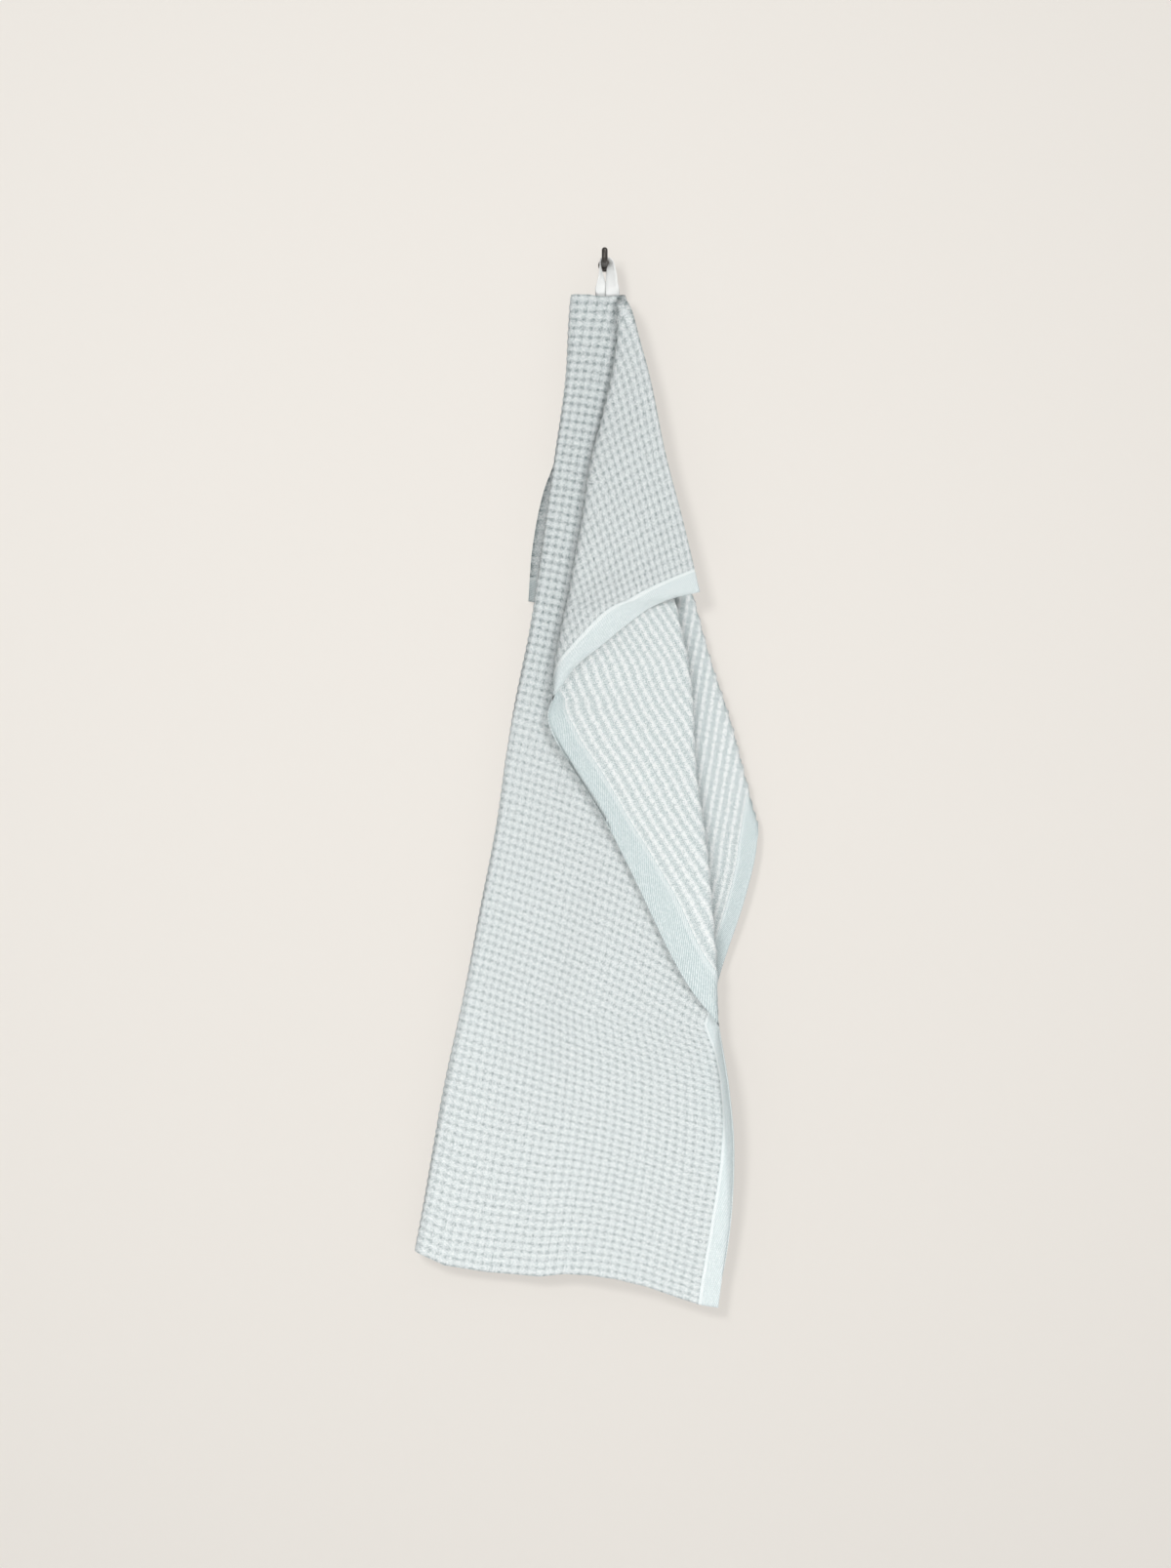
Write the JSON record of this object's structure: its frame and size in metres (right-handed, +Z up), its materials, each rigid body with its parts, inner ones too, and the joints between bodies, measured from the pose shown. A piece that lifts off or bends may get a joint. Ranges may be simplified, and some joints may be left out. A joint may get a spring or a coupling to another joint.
{
  "type": "waffle towel on a wall hook",
  "caption": "Pleated waffle-weave hand towel hanging by its tape loop from a small round-bar wall hook.",
  "frame": {"origin": "centre of the hook plate's back face, on the wall", "axes": "+Z up, +Y into the wall, -Y towards the viewer, +X to the viewer's right"},
  "size_m": [0.2482, 0.0422, 0.7591],
  "materials": {
    "waffle_cloth": "matt waffle weave of white and pale blue-grey yarn",
    "cotton_tape": "matt white woven tape",
    "hook_metal": "dark satin"
  },
  "bodies": {
    "root": {"towel": "waffle_cloth", "hanging_loop": "cotton_tape", "hook_plate": "hook_metal", "hook_bar": "hook_metal"}
  },
  "joints": []
}
